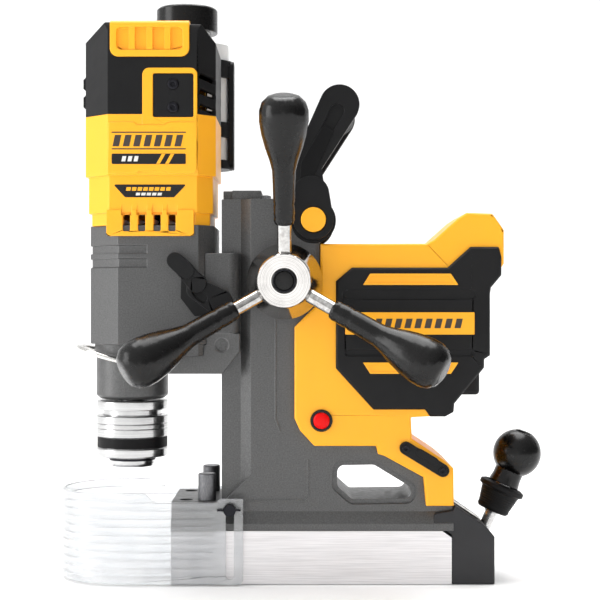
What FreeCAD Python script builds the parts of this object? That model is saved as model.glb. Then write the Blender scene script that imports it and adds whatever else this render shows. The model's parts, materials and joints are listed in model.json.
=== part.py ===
import FreeCAD, Part  # FreeCAD has to come before Part

# Cordless magnetic drill press, in millimetres.
# The origin is the middle of the magnet face, Z is up, the drill head is toward -X,
# the operator's side with the feed handles is toward -Y, and the magnet lever is at +X.

import math
import os

from FreeCAD import Placement, Rotation
from FreeCAD import Vector as V

# ---------------------------------------------------------------- driving dimensions
BASE_FRONT = -117.0        # front end of the magnet
BASE_REAR = 117.0          # rear end of the end cap
MAGNET_REAR = 85.7         # rear end of the magnet housing
MAGNET_HALF = 40.0         # half width of the magnet housing
MAGNET_TOP = 38.6
FOOT_TOP = 56.7            # top of the casting's foot
DECK_TOP = 59.0            # top of the front deck that carries the stop posts

COLUMN_FRONT = -81.0
COLUMN_REAR = -11.0
COLUMN_HALF = 35.0         # half width of the column
RAIL_HALF = 28.0           # half width of the narrow front of the column
RAIL_BACK = -67.0          # where the narrow front widens
COLUMN_TOP = 278.6

FEED_X = -34.7             # feed shaft axis, along Y
FEED_Z = 218.4
FEED_TEETH = 16
FEED_MODULE = 1.5
FEED_PITCH = FEED_TEETH * FEED_MODULE / 2
FEED_TRAVEL = 60.0         # how far the head goes down
SPOKE_ANGLES = (90, 210, 330)
SPOKE_LEAN = math.radians(20)

SPINDLE_X = -149.4         # axis of the neck, spindle and chuck
MOTOR_X = -132.7           # axis of the motor
NECK_RADIUS = 26.6
NECK_BOTTOM = 131.9
HOUSING_TOP = 259.2        # joint between gear housing and motor housing
MOTOR_HALF = 45.0          # half width of the motor housing
MOTOR_TOP = 338.7          # joint between motor housing and top cover
COVER_TOP = 405.5
SHANK_RADIUS = 9.535       # bore for a 19.05 mm cutter shank
CHUCK_BOTTOM = 81.4

GEAR_MODULE = 1.0
MOTOR_TEETH, IDLER_TEETH = 9, 30       # first stage
LAYSHAFT_TEETH, SPINDLE_TEETH = 10, 36  # second stage

HANDLE_X, HANDLE_Z = -14.2, 262.7      # carry handle pivot
GRIP_X, GRIP_Z = 4.6, 345.6            # carry handle grip
ARM_BEND = (-19.0, 302.0)
ARM_IN, ARM_OUT = 38.0, 48.0           # carry handle arms, from the middle plane

HOUSING_HALF = 42.0        # half width of the rear housing
PANEL_HALF = 45.0          # half width over the side panels
WALL = 2.6                 # plastic wall

LEVER_TILT = math.radians(23.7)        # magnet lever's lean toward +X
KNOB_X, KNOB_Z = 138.9, 90.5
LEVER_LENGTH = 75.0                    # knob centre to pivot
LEVER_SWING = 30                       # degrees, from off to on
TOE_REACH = 12.0                       # from the pivot down to the ball that moves the magnets

GUARD_X = -155.0           # centre of the guard's round front
GUARD_OUTER = 46.5
GUARD_INNER = 44.0
GUARD_SCREW = (-74.1, 55.0)

BOTTLE_X, BOTTLE_Y = -114.0, 70.0

GAP = 0.3                  # clearance between sliding and turning pieces
FIT = 0.05                 # radial clearance of a running fit

MIDDLE = V(0, 0, 0)
ALONG_X, ALONG_Y, ALONG_Z = V(1, 0, 0), V(0, 1, 0), V(0, 0, 1)


# ---------------------------------------------------------------- shape helpers
def box(x, y, z):
    """A block between pairs of coordinates."""
    corner = V(min(x), min(y), min(z))
    return Part.makeBox(abs(x[1] - x[0]), abs(y[1] - y[0]), abs(z[1] - z[0]), corner)


def rod(radius, start, end):
    start, end = V(*start), V(*end)
    return Part.makeCylinder(radius, (end - start).Length, start, end - start)


def cone(start_radius, end_radius, start, end):
    start, end = V(*start), V(*end)
    return Part.makeCone(start_radius, end_radius, (end - start).Length, start, end - start)


def cross_rod(radius, x, z, y):
    """A cylinder along Y."""
    return rod(radius, (x, y[0], z), (x, y[1], z))


def prism(corners, push):
    return Part.Face(Part.makePolygon(corners + corners[:1])).extrude(push)


def side_plate(outline, y):
    """An outline in X and Z, thick along Y."""
    return prism([V(x, y[0], z) for x, z in outline], V(0, y[1] - y[0], 0))


def plan_plate(outline, z):
    """An outline in X and Y, thick along Z."""
    return prism([V(x, y, z[0]) for x, y in outline], V(0, 0, z[1] - z[0]))


def end_plate(outline, x):
    """An outline in Y and Z, thick along X."""
    return prism([V(x[0], y, z) for y, z in outline], V(x[1] - x[0], 0, 0))


def shrunk(outline, distance):
    """The outline moved inward by a distance, or outward where it is negative."""
    polygon = Part.makePolygon([V(a, b, 0) for a, b in outline + outline[:1]])
    inner = polygon.makeOffset2D(-distance, 2)
    return [(v.Point.x, v.Point.y) for v in inner.OrderedVertexes]


def turned(profile, origin, axis):
    """A solid of revolution from (radius, height) points, its heights along axis."""
    corners = [V(r, 0, h) for r, h in profile]
    solid = Part.Face(Part.makePolygon(corners + corners[:1])).revolve(MIDDLE, ALONG_Z, 360)
    solid.Placement = Placement(V(*origin), Rotation(ALONG_Z, V(*axis)))
    return solid


def link(start, start_radius, end, end_radius, y):
    """A flat bar with two round ends in the XZ plane, its sides tangent to both."""
    dx, dz = end[0] - start[0], end[1] - start[1]
    length = math.hypot(dx, dz)
    heading = math.atan2(dz, dx)
    lean = math.acos((start_radius - end_radius) / length)
    ends = ((start, start_radius), (end, end_radius))
    left = [(c[0] + r * math.cos(heading + lean), c[1] + r * math.sin(heading + lean)) for c, r in ends]
    right = [(c[0] + r * math.cos(heading - lean), c[1] + r * math.sin(heading - lean)) for c, r in ends]
    bar = side_plate([left[0], left[1], right[1], right[0]], y)
    return bar.fuse([cross_rod(r, c[0], c[1], y) for c, r in ends]).removeSplitter()


def mirrored(shape):
    """The same shape on the far side of the middle plane."""
    return shape.mirror(MIDDLE, ALONG_Y)


def both_sides(shape):
    return [shape, mirrored(shape)]


def edges_along(shape, axis, wanted=None):
    found = []
    for edge in shape.Edges:
        ends = [v.Point for v in edge.Vertexes]
        if len(ends) != 2 or not isinstance(edge.Curve, Part.Line):
            continue
        if (ends[1] - ends[0]).normalize().cross(axis).Length > 1e-6:
            continue
        if wanted is None or wanted(edge.CenterOfMass):
            found.append(edge)
    return found


def rounded(shape, radius, axis, wanted=None):
    return shape.makeFillet(radius, edges_along(shape, axis, wanted))


def ellipse_plate(centre, radii, z):
    curve = Part.Ellipse(V(centre[0], centre[1], z[0]), *radii)
    return Part.Face(Part.Wire(curve.toShape())).extrude(V(0, 0, z[1] - z[0]))


def gear(teeth, module, centre, z, phase):
    """A spur gear with generous backlash; phase is where one tooth points, in radians."""
    pitch = teeth * module / 2
    root, tip = pitch - 1.15 * module, pitch + 0.8 * module
    half = math.pi / teeth
    outline = []
    for k in range(teeth):
        middle = phase + 2 * half * k
        for radius, part in ((root, -0.5), (tip, -0.2), (tip, 0.2), (root, 0.5)):
            angle = middle + part * half
            outline.append((centre[0] + radius * math.cos(angle), centre[1] + radius * math.sin(angle)))
    return plan_plate(outline, z)


def save(name, *solids):
    """Write one node; several solids make a group of like pieces."""
    shapes = [s for solid in solids for s in (solid if isinstance(solid, list) else [solid])]
    shape = shapes[0] if len(shapes) == 1 else Part.makeCompound(shapes)
    for solid in shape.Solids:
        assert solid.isValid() and solid.isClosed() and solid.Volume > 1, name
    assert shape.Solids, name
    shape.exportStep(os.path.join("parts", name + ".step"))
    return shape


os.makedirs("parts", exist_ok=True)


# ---------------------------------------------------------------- outlines used more than once
END_CAP_OUTLINE = [
    (72.9, 44.3), (85.7, 35.7), (85.7, 0), (BASE_REAR, 0), (BASE_REAR, 33.9), (110.8, 41.6),
    (101, 48), (88.3, 57), (87, 53.2), (74.7, 51.3), (73, 48.7),
]
HOUSING_OUTLINE = [
    (-9, 245.7), (67.6, 245.9), (73.4, 249.1), (90, 263.9), (96.4, 268.2), (114.9, 267.5),
    (121.6, 258), (123.2, 255.6), (123.2, 231.5), (112.5, 214), (108, 205), (108, 160),
    (84, 129), (70.2, 121.4), (56.2, 120.6), (56.9, 105.2), (79.5, 90.3), (86.9, 83.8),
    (87.2, FOOT_TOP), (67.2, FOOT_TOP), (65.3, 77.4), (36.9, 92.9), (32.4, 94.2), (31.1, 100),
    (-13.5, 100), (-23.8, 111), (-27.8, 119.9), (-27.8, 185.7), (-9, 204.5),
]
PANEL_OUTLINE = [
    (2, 218.7), (13.5, 228.5), (82.2, 228.5), (98.7, 243.4), (119.1, 243.4), (121, 236.3),
    (121, 223.1), (113.5, 214.2), (112.8, 209.9), (112.8, 165.4), (108.6, 162.6), (108.6, 156.6),
    (87.2, 130.8), (86.6, 124.7), (80.6, 121.4), (69.6, 121.4), (66.3, 126.4), (29, 126.4), (2, 156),
]
HAND_HOLE = [(3.5, 85.1), (30, 85.5), (57.3, 68.9), (56.7, 61.1), (13.9, 60.5), (3.1, 70.2)]
STRAP_ENDS = ((52.4, 98.7), (78.9, 82.6))
BUTTON_X, BUTTON_Z = -8.4, 118.4

LEVER_LEAN = V(math.sin(LEVER_TILT), 0, math.cos(LEVER_TILT))   # along the magnet lever
LEVER_AXLE = V(LEVER_LEAN.z, 0, -LEVER_LEAN.x)                  # its hinge pin
KNOB = V(KNOB_X, 0, KNOB_Z)
PIVOT = KNOB - LEVER_LEAN * LEVER_LENGTH


def on_lever(distance, sideways=0.0, along_pin=0.0):
    """A point from the pivot: distance up the lever, sideways along -Y, along the hinge pin."""
    return PIVOT + LEVER_LEAN * distance - ALONG_Y * sideways + LEVER_AXLE * along_pin


# ---------------------------------------------------------------- magnet base
def magnet_housing():
    shell = box((BASE_FRONT, MAGNET_REAR), (-MAGNET_HALF, MAGNET_HALF), (0, MAGNET_TOP))
    pocket = box((BASE_FRONT + 9, MAGNET_REAR), (-31, 31), (6, 32.6))
    top_corner = side_plate([(79, MAGNET_TOP), (MAGNET_REAR, MAGNET_TOP), (MAGNET_REAR, 34)], (-41, 41))
    tapped = [rod(2.5, (x, y, MAGNET_TOP), (x, y, 33.5)) for x, y in BASE_SCREWS]
    return shell.cut([pocket, top_corner] + tapped)


BASE_SCREWS = [(x, side * y) for x, y in ((-107, 24), (24, 20)) for side in (-1, 1)]
MAGNET_PITCH = 22.5


def magnet_bars(low, high, half, shift):
    bars = []
    for k in range(8):
        front = BASE_FRONT + 10 + k * MAGNET_PITCH
        bars.append(box((front, front + MAGNET_PITCH - 1.5), (shift - half, shift + half), (low, high)))
    return bars


def shifting_magnets():
    """The upper magnet row on its carrier, with the fork that the lever's toe moves."""
    half, shift = 23.0, -4.0
    bars = magnet_bars(17.3, 27, half, shift)
    toe_height = PIVOT.z - TOE_REACH * math.cos(LEVER_TILT)
    plate = box((BASE_FRONT + 10, 80), (shift - half, shift + half), (27, 30))
    tail = box((80, 96), (-8, 8), (27, 30)).fuse(box((93, 96), (-8, 8), (toe_height - 2.4, 30)))
    fork = box((96, 108), (-8, 8), (toe_height - 2.4, toe_height + 2.4))
    fork = fork.cut(box((98, 109), (-3.8, 3.8), (0, 30)))
    carrier = plate.fuse([tail, fork]).removeSplitter()
    return [carrier] + bars


def end_cap():
    cap = side_plate(END_CAP_OUTLINE, (-39.5, 39.5))
    cap = rounded(cap, 2.5, ALONG_Z, lambda c: c.x > 116)
    cavity = box((80, 112.5), (-30, 30), (4, 30.5))
    # The lever swings toward -Y, so its slot opens from upright to that side.
    swing = math.radians(LEVER_SWING + 3)
    width = 6.3
    corners = [(-width, -12), (-width, 60), (60, 60)]
    corners.append((width * math.cos(swing) + 60 * math.sin(swing), 60 * math.cos(swing)))
    corners.append((width * math.cos(swing), -width * math.sin(swing)))
    corners.append((width * math.cos(swing), -12))
    half = 5.0
    slot = prism([on_lever(w, v, -half) for v, w in corners], LEVER_AXLE * (2 * half))
    pin = on_lever(0, 0, -9.2)
    bore = rod(3 + FIT, pin, pin + LEVER_AXLE * 16.4)
    return cap.cut([cavity, slot, bore])


def gate_plate():
    """The bright plate on the end cap's slope, with the slot that the lever swings in."""
    slope = [(87.5, 57.7), (101.2, 48.2), (106, 45), (107.2, 46.7), (102.4, 50.1), (88.8, 59.6)]
    plate = side_plate(slope, (-27, 12))
    return plate.cut([end_cap(), end_cap_slot_clearance()])


def end_cap_slot_clearance():
    swing = math.radians(LEVER_SWING)
    sweep = [rod(7.3, on_lever(0), on_lever(40)), rod(7.3, on_lever(0), PIVOT + swung(40, swing))]
    sweep.append(rod(7.3, on_lever(0), PIVOT + swung(40, swing / 2)))
    return sweep[0].fuse(sweep[1:])


def swung(distance, angle):
    return (LEVER_LEAN * math.cos(angle) - ALONG_Y * math.sin(angle)) * distance


def lever_shaft():
    """Steel lever with its pressed hinge pin and the toe that moves the magnets."""
    stem = turned([(0, -TOE_REACH), (2, -TOE_REACH), (2, -7), (4, -7), (4, 16), (4.5, 16), (4.5, 26),
                   (6.4, 29), (6.4, 62), (0, 62)], PIVOT, LEVER_LEAN)
    eye = rod(6, on_lever(0, 0, -4.4), on_lever(0, 0, 4.4))
    pin = rod(3, on_lever(0, 0, -9), on_lever(0, 0, 7))
    toe = Part.makeSphere(3.5, on_lever(-TOE_REACH))
    return stem.fuse([eye, pin, toe]).removeSplitter()


def ball_knob():
    ball = Part.makeSphere(17.8, KNOB)
    neck = turned([(0, 50), (11.5, 50), (10.6, 56), (10.6, 66), (0, 66)], PIVOT, LEVER_LEAN)
    knob = ball.fuse(neck).removeSplitter()
    dimple = KNOB + V(0.35, -0.15, 0.93).normalize() * 17.8
    knob = knob.cut(Part.makeSphere(7, dimple + V(0, 0, 2.5)))
    return knob.cut(rod(6.4, on_lever(45), on_lever(62)))


def lock_sleeve():
    """Grooved collar that has to be raised before the lever can swing."""
    profile = [(6.4 + FIT, 28.2), (11, 28.2), (12.2, 30), (12.2, 31.5)]
    for k in range(7):
        height = 33 + k * 1.7
        radius = 12.5 + k * 0.35
        profile += [(radius - 0.5, height - 0.5), (radius, height), (radius, height + 0.6)]
    profile += [(17, 45), (17, 48), (14, 49.5), (12.5, 45.6), (6.4 + FIT, 45.6)]
    return turned(profile, PIVOT, LEVER_LEAN)


# ---------------------------------------------------------------- column casting
def bead(points, y):
    """A fine raised line on the casting's side."""
    runs = [link(a, 0.6, b, 0.599, y) for a, b in zip(points, points[1:])]
    return runs[0].fuse(runs[1:])


def column_casting():
    side = (-COLUMN_HALF, COLUMN_HALF)
    plan = [(COLUMN_FRONT, -RAIL_HALF), (RAIL_BACK, -RAIL_HALF), (-59.5, -COLUMN_HALF),
            (COLUMN_REAR - 1, -COLUMN_HALF)]
    plan += [(x, -y) for x, y in reversed(plan)]
    column = plan_plate(plan, (MAGNET_TOP + 5, COLUMN_TOP))
    web = side_plate([(-77, 52), (-77, 61), (-59.5, 79), (-59.5, 130), (-12, 130), (-12, 108),
                      (30, 108), (38, 101), (66, 84), (72, 59), (72, 52)], side)
    half_foot = [(-MAGNET_HALF, MAGNET_TOP), (-MAGNET_HALF, 43.6), (-COLUMN_HALF, 52),
                 (-COLUMN_HALF, FOOT_TOP)]
    foot = end_plate(half_foot + [(-y, z) for y, z in reversed(half_foot)], (BASE_FRONT, 87))
    deck = box((BASE_FRONT, -60), side, (50, DECK_TOP))
    body = column.fuse([web, foot, deck]).removeSplitter()

    t_slot = box((COLUMN_FRONT - 1, -74), (-18, 18), (62, COLUMN_TOP + 1))
    t_slot = t_slot.fuse(box((-74, -51.7), (-24, 24), (62, COLUMN_TOP + 1)))
    rack_room = box((-52, -43.5), (-11, 11), (62, COLUMN_TOP + 1))
    pinion_room = cross_rod(14.6, FEED_X, FEED_Z, (-11, 11))
    bearing_bore = cross_rod(12, FEED_X, FEED_Z, side)
    hollow = box((-42, -17), (-27, 27), (64, 196))
    hole = side_plate(HAND_HOLE, (-45, 45))
    hole = rounded(hole, 5, ALONG_Y)
    pivot_bore = cross_rod(8, HANDLE_X, HANDLE_Z, side)
    posts = [rod(4, (-91.7, y, DECK_TOP), (-91.7, y, 48)) for y in (-26, 26)]
    screws = []
    for x, y in BASE_SCREWS:
        screws.append(rod(2.8, (x, y, MAGNET_TOP), (x, y, 60)))
        screws.append(rod(4.9, (x, y, 46.5), (x, y, 60)))
    guard_threads = cross_rod(2.5 + FIT, *GUARD_SCREW, (-48, 48))
    bosses = both_sides(cross_rod(5.2, *GUARD_SCREW, (-43.7, -34)))
    body = body.fuse(bosses)
    for cutter in (t_slot, rack_room, pinion_room, bearing_bore, hollow, hole, pivot_bore,
                   *posts, *screws, guard_threads, end_cap()):
        body = body.cut(cutter)
    rim = side_plate(shrunk(HAND_HOLE, -3.6), (-COLUMN_HALF - 1, -COLUMN_HALF + 2.6))
    rim = rounded(rim, 8, ALONG_Y)
    body = body.cut(both_sides(rim))
    lines = [[(-41.6, 191), (-41.6, 119), (-38, 110)],
             [(-18, 89), (-18, 62.5), (-20.5, 60.2), (-63, 60.2)]]
    beads = [bead(points, (-COLUMN_HALF - 0.7, -COLUMN_HALF + 0.3)) for points in lines]
    beads = [side for shape in beads for side in both_sides(shape)]
    return body.fuse(beads).removeSplitter()


def base_screws():
    screws = []
    for x, y in BASE_SCREWS:
        screw = rod(2.5, (x, y, 33.6), (x, y, 47)).fuse(rod(4.5, (x, y, 46.5), (x, y, 51.5)))
        socket = rod(2.2, (x, y, 49), (x, y, 52))
        screws.append(screw.cut(socket).removeSplitter())
    return screws


def stop_posts():
    posts = []
    for y in (-26, 26):
        profile = [(0, 48), (4, 48), (4, DECK_TOP), (6.55, DECK_TOP), (6.55, 78), (5.85, 78.7), (0, 78.7)]
        posts.append(turned(profile, (-91.7, y, 0), ALONG_Z))
    return posts


# ---------------------------------------------------------------- rear housing
BAY_FRONT, BAY_LOW, BAY_HIGH = 49.5, 136.0, 232.0
BAY_HALF = 37.2


def rear_shell(casting):
    """The near half of the yellow housing; the far half mirrors it, less the button."""
    solid = side_plate(HOUSING_OUTLINE, (-HOUSING_HALF, 0))
    solid = rounded(solid, 3, ALONG_Y, lambda c: c.x > 60 and c.z > 245)
    rim = [e for e in solid.Edges if abs(e.CenterOfMass.y + HOUSING_HALF) < 1e-6]
    solid = solid.makeChamfer(1.2, rim)
    hollow = side_plate(shrunk(HOUSING_OUTLINE, WALL), (-HOUSING_HALF + WALL, 1))
    bay = box((BAY_FRONT, 130), (-BAY_HALF, 1), (BAY_LOW, BAY_HIGH))
    return solid.cut([hollow, bay, casting])


def side_panel():
    """Black cover beside the battery bay, with two long grooves."""
    plate = side_plate(PANEL_OUTLINE, (-PANEL_HALF, -HOUSING_HALF))
    rim = [e for e in plate.Edges if abs(e.CenterOfMass.y + PANEL_HALF) < 1e-6]
    plate = plate.makeChamfer(1.4, rim)
    for low, high in ((205.5, 212.7), (164.9, 169.8)):
        middle = (low + high) / 2
        groove = link((11, middle), (high - low) / 2, (99, middle), (high - low) / 2 - 0.01,
                      (-PANEL_HALF - 1, -PANEL_HALF + 1))
        plate = plate.cut(groove)
    return plate


def panel_inlays():
    """Yellow bars and name plate, left blank, on each side panel."""
    bars = [
        [(21.3, 216), (89.9, 216), (84.5, 224.2), (26.5, 224.2)],
        [(21.3, 160.4), (89.9, 160.4), (84.5, 152.4), (26.5, 152.4)],
        [(8.6, 180.4), (101.5, 180.4), (101.5, 196.4), (8.6, 196.4)],
    ]
    solids = []
    for outline in bars:
        solids += both_sides(side_plate(outline, (-PANEL_HALF - 0.8, -PANEL_HALF)))
    return solids


def strap_bars():
    bar = link(STRAP_ENDS[0], 4.6, STRAP_ENDS[1], 4.599, (-45, -HOUSING_HALF))
    raised = link((62.5, 95.5), 2.6, (73.2, 89.2), 2.599, (-46, -HOUSING_HALF))
    return both_sides(bar.fuse(raised).removeSplitter())


def housing_screws():
    screws = []
    for x, z in STRAP_ENDS:
        head = cross_rod(2.7, x, z, (-46.4, -45))
        socket = cross_rod(1.3, x, z, (-47, -45.5))
        screws += both_sides(head.cut(socket))
    return screws


def control_board():
    board = box((18, 20), (-30, 30), (146, 226))
    parts = [box((20, 30), (-24 + k * 17, -12 + k * 17), (158, 172)) for k in range(3)]
    parts.append(box((20, 34), (-14, 14), (186, 208)))
    return board.fuse(parts).removeSplitter()


def battery_terminals():
    block = box((38, BAY_FRONT), (-24, 24), (158, 212))
    blades = [box((BAY_FRONT - 1, BAY_FRONT + 7), (y - 0.5, y + 0.5), (172, 198)) for y in (-15, -5, 5, 15)]
    return block.fuse(blades).removeSplitter()


BATTERY_REAR = 106.5


def battery_case():
    case = box((BAY_FRONT + GAP, BATTERY_REAR), (-36.6, 36.6), (BAY_LOW + 0.5, BAY_HIGH - 0.5))
    case = rounded(case, 4, ALONG_Z, lambda c: c.x > 100)
    case = rounded(case, 3, ALONG_Y, lambda c: c.x > 100)
    cells = box((66, 103), (-33.5, 33.5), (139.5, 222))
    contacts = box((49, 66), (-19, 19), (169, 201))
    release = box((98, 110), (-14, 14), (222.5, 229.5))
    return case.cut([cells, contacts, release])


def battery_cells():
    cells = []
    for x in (75.3, 93.8):
        for z in (149.5, 168.5, 187.5, 206.5):
            cells.append(rod(9.1, (x, -32.5, z), (x, 32.5, z)))
    return cells


def battery_release():
    return rounded(box((101.5, 108.5), (-13.6, 13.6), (222.9, 229.1)), 1.5, ALONG_Y)


def button_bezel():
    x, z = BUTTON_X, BUTTON_Z
    ring = cross_rod(8, x, z, (-44, -HOUSING_HALF)).fuse(cross_rod(7, x, z, (-HOUSING_HALF, -36)))
    return ring.cut(cross_rod(6, x, z, (-50, -30)))


def power_button():
    x, z = BUTTON_X, BUTTON_Z
    profile = [(0, 0), (5.9, 0), (5.9, 6.6), (4.6, 7.6), (2.4, 8.1), (0, 8.2)]
    return turned(profile, (x, -38, z), V(0, -1, 0))


# ---------------------------------------------------------------- carry handle
def handle_pivot():
    """Pivot tube through the column, with a boss on each side of it."""
    pin = cross_rod(8 - FIT, HANDLE_X, HANDLE_Z, (-43, 43))
    bosses = both_sides(cross_rod(16.4, HANDLE_X, HANDLE_Z, (-37.7, -COLUMN_HALF)))
    bore = cross_rod(5.1, HANDLE_X, HANDLE_Z, (-44, 44))
    return pin.fuse(bosses).removeSplitter().cut(bore)


def handle_arms():
    arms = []
    for face in both_sides(Part.Vertex(0, -1, 0)):
        side = face.Point.y
        y = (side * ARM_IN, side * ARM_OUT)
        hub = link((HANDLE_X, HANDLE_Z), 14.4, (-16, 281), 13.2, y)
        lower = link((-17, 275), 12, ARM_BEND, 10.5, (side * ARM_IN, side * (ARM_OUT - 1.5)))
        upper = link(ARM_BEND, 10.5, (GRIP_X, GRIP_Z), 14.3, (side * ARM_IN, side * (ARM_OUT - 1.5)))
        arm = hub.fuse([lower, upper]).removeSplitter()
        pocket = link((-12, 313), 3.2, (3, 341), 5.0, (side * (ARM_OUT + 1), side * (ARM_OUT - 4)))
        recess = cross_rod(9.2, HANDLE_X, HANDLE_Z, (side * (ARM_OUT + 1), side * 43))
        bore = cross_rod(8, HANDLE_X, HANDLE_Z, (side * 37, side * 44))
        seat = cross_rod(6, GRIP_X, GRIP_Z, (side * 37, side * 43))
        arms.append(arm.cut([pocket, recess, bore, seat]))
    return arms


def handle_grip():
    """Bar between the arms, with a shallow swell for each finger."""
    profile = [(0, -43), (6, -43), (6, -ARM_IN), (13.6, -ARM_IN), (13.6, -36)]
    for k in range(24):
        y = -34 + k * 68 / 23
        profile.append((12.6 + 0.9 * math.cos(y * 2 * math.pi / 17), y))
    profile += [(13.6, 36), (13.6, ARM_IN), (6, ARM_IN), (6, 43), (0, 43)]
    return turned(profile, (GRIP_X, 0, GRIP_Z), ALONG_Y)


def handle_lock_button():
    """Round button on the near arm, its stem inside the pivot tube."""
    disc = cross_rod(8.9, HANDLE_X, HANDLE_Z, (-50, -47.2))
    stem = cross_rod(5, HANDLE_X, HANDLE_Z, (-47.2, -26))
    return disc.fuse(stem).removeSplitter()


# ---------------------------------------------------------------- feed
HUB_BACK, HUB_FACE = -50.0, -84.0
SPOKE_ROOT = -72.0


def feed_shaft():
    shaft = cross_rod(9, FEED_X, FEED_Z, (-76, 37.5))
    pinion = gear(FEED_TEETH, FEED_MODULE, (0, 0), (-9.5, 9.5), math.pi)
    pinion.rotate(MIDDLE, ALONG_X, 90)
    pinion.translate(V(FEED_X, 0, FEED_Z))
    collar = cross_rod(13, FEED_X, FEED_Z, (35.3, 41))
    return shaft.fuse([pinion, collar]).removeSplitter()


def feed_bushings():
    rings = []
    for near, far in ((-35, -12), (12, 35)):
        ring = cross_rod(12, FEED_X, FEED_Z, (near, far))
        rings.append(ring.cut(cross_rod(9 + FIT, FEED_X, FEED_Z, (near - 1, far + 1))))
    return rings


def spoke_direction(angle):
    return V(math.cos(angle) * math.cos(SPOKE_LEAN), -math.sin(SPOKE_LEAN),
             math.sin(angle) * math.cos(SPOKE_LEAN))


def spoke(angle, low, high, radius):
    heading = spoke_direction(angle)
    root = V(FEED_X + 10 * math.cos(angle), SPOKE_ROOT, FEED_Z + 10 * math.sin(angle))
    return rod(radius, root + heading * low, root + heading * high)


GRIP_START, GRIP_END = 31.5, 121.5


def feed_hub():
    profile = [(9, -36), (22, -36), (22, -38), (20, -40), (20, HUB_BACK), (27, HUB_BACK), (27, -53.5),
               (19.5, -82), (18.3, HUB_FACE), (8.6, HUB_FACE), (8.6, -77), (9, -76)]
    hub = turned([(r, -y) for r, y in profile], (FEED_X, 0, FEED_Z), V(0, -1, 0))
    holes = [spoke(math.radians(a), 2, 40, 5) for a in SPOKE_ANGLES]
    return hub.cut(holes + [feed_shaft()])


def hub_cap():
    profile = [(0, 77), (8.6, 77), (8.6, 84.6), (7.4, 85.6), (0, 86)]
    cap = turned(profile, (FEED_X, 0, FEED_Z), V(0, -1, 0))
    return cap.cut(turned([(6.4, 85), (7.0, 85), (7.0, 87), (6.4, 87)], (FEED_X, 0, FEED_Z), V(0, -1, 0)))


def spoke_rods():
    return [spoke(math.radians(a), 2, GRIP_END - 20, 5) for a in SPOKE_ANGLES]


def feed_grips():
    length = GRIP_END - GRIP_START
    shape = ((0, 6.6), (0.03, 7.3), (0.06, 7.0), (0.08, 7.4), (0.14, 7.4), (0.16, 7.0), (0.18, 7.6),
             (0.3, 7.8), (0.42, 8.2), (0.5, 10.0), (0.6, 13.0), (0.7, 15.4), (0.8, 16.8), (0.88, 16.7),
             (0.94, 15), (0.985, 11), (1, 7))
    grips = []
    for degrees in SPOKE_ANGLES:
        angle = math.radians(degrees)
        heading = spoke_direction(angle)
        root = V(FEED_X + 10 * math.cos(angle), SPOKE_ROOT, FEED_Z + 10 * math.sin(angle))
        profile = [(0, GRIP_START)] + [(r, GRIP_START + t * length) for t, r in shape] + [(0, GRIP_END)]
        grips.append(turned(profile, root, heading).cut(spoke(angle, 2, GRIP_END - 20, 5)))
    return grips


# ---------------------------------------------------------------- drill head
BAR_LOW, BAR_TOP = 126.0, 285.5
BRACKET_LOW, BRACKET_HIGH = 151.7, 239.2

GEARBOX_PLAN = [(-178, -19), (-155, -42), (-97, -42), (-86, -31)]
GEARBOX_PLAN += [(x, -y) for x, y in reversed(GEARBOX_PLAN)]
MOTOR_PLAN = [(-180.5, -26.5), (-162, -MOTOR_HALF), (-97, -MOTOR_HALF), (-84.9, -33)]
MOTOR_PLAN += [(x, -y) for x, y in reversed(MOTOR_PLAN)]
TAB = (-163, -100)         # the tongue of the motor housing over the gear housing
FRAME = (-137, -97.5)      # the yellow frame round the switch plate
FRAME_TOP = 372.0
PLATE = (-129.4, -100.2)   # the switch plate
PLATE_Z = (336.5, 368)
INSERT = (-160.3, -103.3)  # the finned vent on top
INSERT_LOW = 380.0
VENTS = (-148.6, -137.6, -126.5, -115.8)


def slide_bar():
    bar = box((-80.3, -73.7), (-17.7, 17.7), (BAR_LOW, BAR_TOP))
    bar = bar.fuse(box((-73.7, -52), (-23.7, 23.7), (BAR_LOW, BAR_TOP))).removeSplitter()
    return bar


def feed_rack():
    """Rack behind the slide bar; its teeth face the pinion, one gap at the shaft's height."""
    pitch = math.pi * FEED_MODULE
    line = FEED_X - FEED_PITCH
    root, tip = line - 1.2 * FEED_MODULE, line + 0.8 * FEED_MODULE
    outline = [(-52, 212), (-52, 283)]
    count = 14
    for k in range(count, 0, -1):
        middle = FEED_Z + (k - 0.5) * pitch
        outline += [(root, middle + 0.25 * pitch), (tip, middle + 0.1 * pitch),
                    (tip, middle - 0.1 * pitch), (root, middle - 0.25 * pitch)]
    outline += [(root, 212)]
    return side_plate(outline, (-9, 9))


def carriage_bracket(gearbox):
    """Saddle round the front of the column that ties the gear housing to the slide bar."""
    side = (-38, 38)
    back = -67.3
    upper = box((-100.4, back), side, (181.3, BRACKET_HIGH))
    upper = rounded(upper, 8, ALONG_Z, lambda c: c.x > -70)
    lower = side_plate([(-120, BRACKET_LOW), (-80.2, BRACKET_LOW), (back, 168.3), (back, 181.3),
                        (-120, 181.3)], (-37, 37))
    body = upper.fuse(lower).removeSplitter()
    channel = box((COLUMN_FRONT - GAP, 0), (-RAIL_HALF - GAP, RAIL_HALF + GAP), (140, 250))
    stem = box((-82, -73), (-17.7, 17.7), (BAR_LOW, BRACKET_HIGH + 40))
    neck = rod(NECK_RADIUS + 0.01, (SPINDLE_X, 0, 120), (SPINDLE_X, 0, 200))
    dimples = both_sides(cross_rod(5.1, -80.4, 172.7, (-38, -35.5)))
    lever_bore = cross_rod(4 + FIT, *LOCK_PIVOT, (-40, -26))
    return body.cut([channel, stem, neck, gearbox, lever_bore] + dimples)


LOCK_PIVOT = (-81.1, 203.3)
LOCK_TIP = (-111.5, 232.2)


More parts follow.
